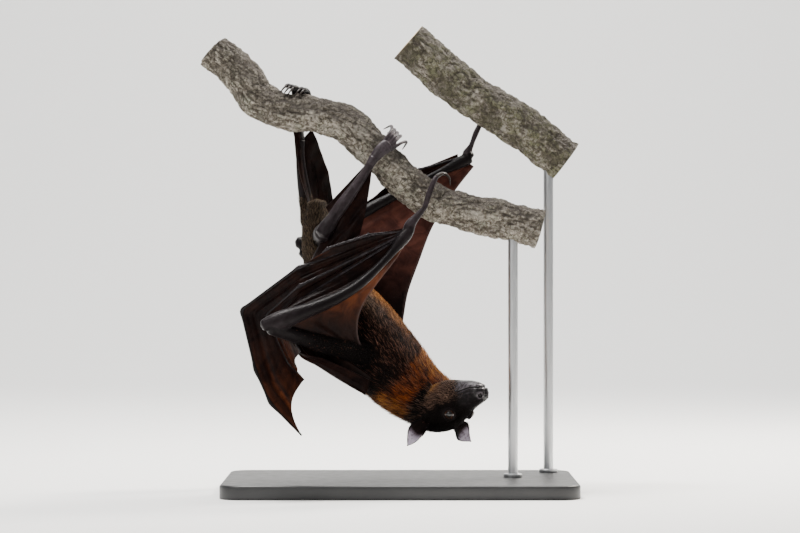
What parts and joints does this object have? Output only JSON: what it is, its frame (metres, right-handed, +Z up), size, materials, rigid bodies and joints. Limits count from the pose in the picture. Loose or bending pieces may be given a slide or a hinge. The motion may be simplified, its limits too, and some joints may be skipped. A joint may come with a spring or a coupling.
{
  "type": "large flying fox on a display perch",
  "caption": "Life-size fruit bat hanging head down by its feet and thumbs from a cut branch, wings folded, on a flat display stand.",
  "frame": {"origin": "centre of the underside of the stand's base", "axes": "+Z up, +X the way the bat's body leans and its face turns, -Y the bat's left side"},
  "size_m": [0.3845, 0.2632, 0.4707],
  "materials": {
    "body_coat": "short grizzled brown fur",
    "mantle_coat": "rust to orange fur",
    "face_coat": "short black-brown fur",
    "chin_skin": "bare grey skin",
    "nose_skin": "moist black skin",
    "ear_skin": "thin bare skin, pale inside with a dark rim",
    "bare_skin": "wrinkled grey-brown skin",
    "wing_skin": "thin folded skin with a low sheen",
    "eye": "wet brown",
    "claw": "smooth black-brown horn",
    "bark": "flaky grey-tan bark",
    "stand_base": "satin black paint on board",
    "rod": "brushed"
  },
  "bodies": {
    "root": {"stand_rod_front": "rod", "stand_rod_back": "rod", "stand_base": "stand_base", "perch_front": "bark", "perch_back": "bark", "eye_left": "eye", "eye_right": "eye", "nose": "nose_skin", "lower_jaw": "chin_skin", "head": "face_coat", "ear_left": "ear_skin", "ear_right": "ear_skin", "hips": "body_coat", "belly": "body_coat", "chest": "body_coat", "neck": "mantle_coat", "foot_left": "bare_skin", "shin_left": "bare_skin", "thigh_left": "body_coat", "foot_right": "bare_skin", "shin_right": "bare_skin", "thigh_right": "body_coat", "thumb_claw_left": "claw", "thumb_left": "bare_skin", "forearm_left": "bare_skin", "upper_arm_left": "body_coat", "finger_2_left": "bare_skin", "finger_3_left": "bare_skin", "finger_4_left": "bare_skin", "finger_5_left": "bare_skin", "thumb_claw_right": "claw", "thumb_right": "bare_skin", "forearm_right": "bare_skin", "upper_arm_right": "body_coat", "finger_2_right": "bare_skin", "finger_3_right": "bare_skin", "finger_4_right": "bare_skin", "finger_5_right": "bare_skin", "wing_skin_left_fingers_2_3": "wing_skin", "wing_skin_left_fingers_3_4": "wing_skin", "wing_skin_left_fingers_4_5": "wing_skin", "wing_skin_left_front": "wing_skin", "wing_skin_left_leg": "wing_skin", "wing_skin_left_side": "wing_skin", "wing_skin_right_fingers_2_3": "wing_skin", "wing_skin_right_fingers_3_4": "wing_skin", "wing_skin_right_fingers_4_5": "wing_skin", "wing_skin_right_front": "wing_skin", "wing_skin_right_leg": "wing_skin", "wing_skin_right_side": "wing_skin", "wing_skin_left_forearm": "wing_skin", "leg_skin_left": "wing_skin", "leg_skin_right": "wing_skin"}
  },
  "joints": []
}
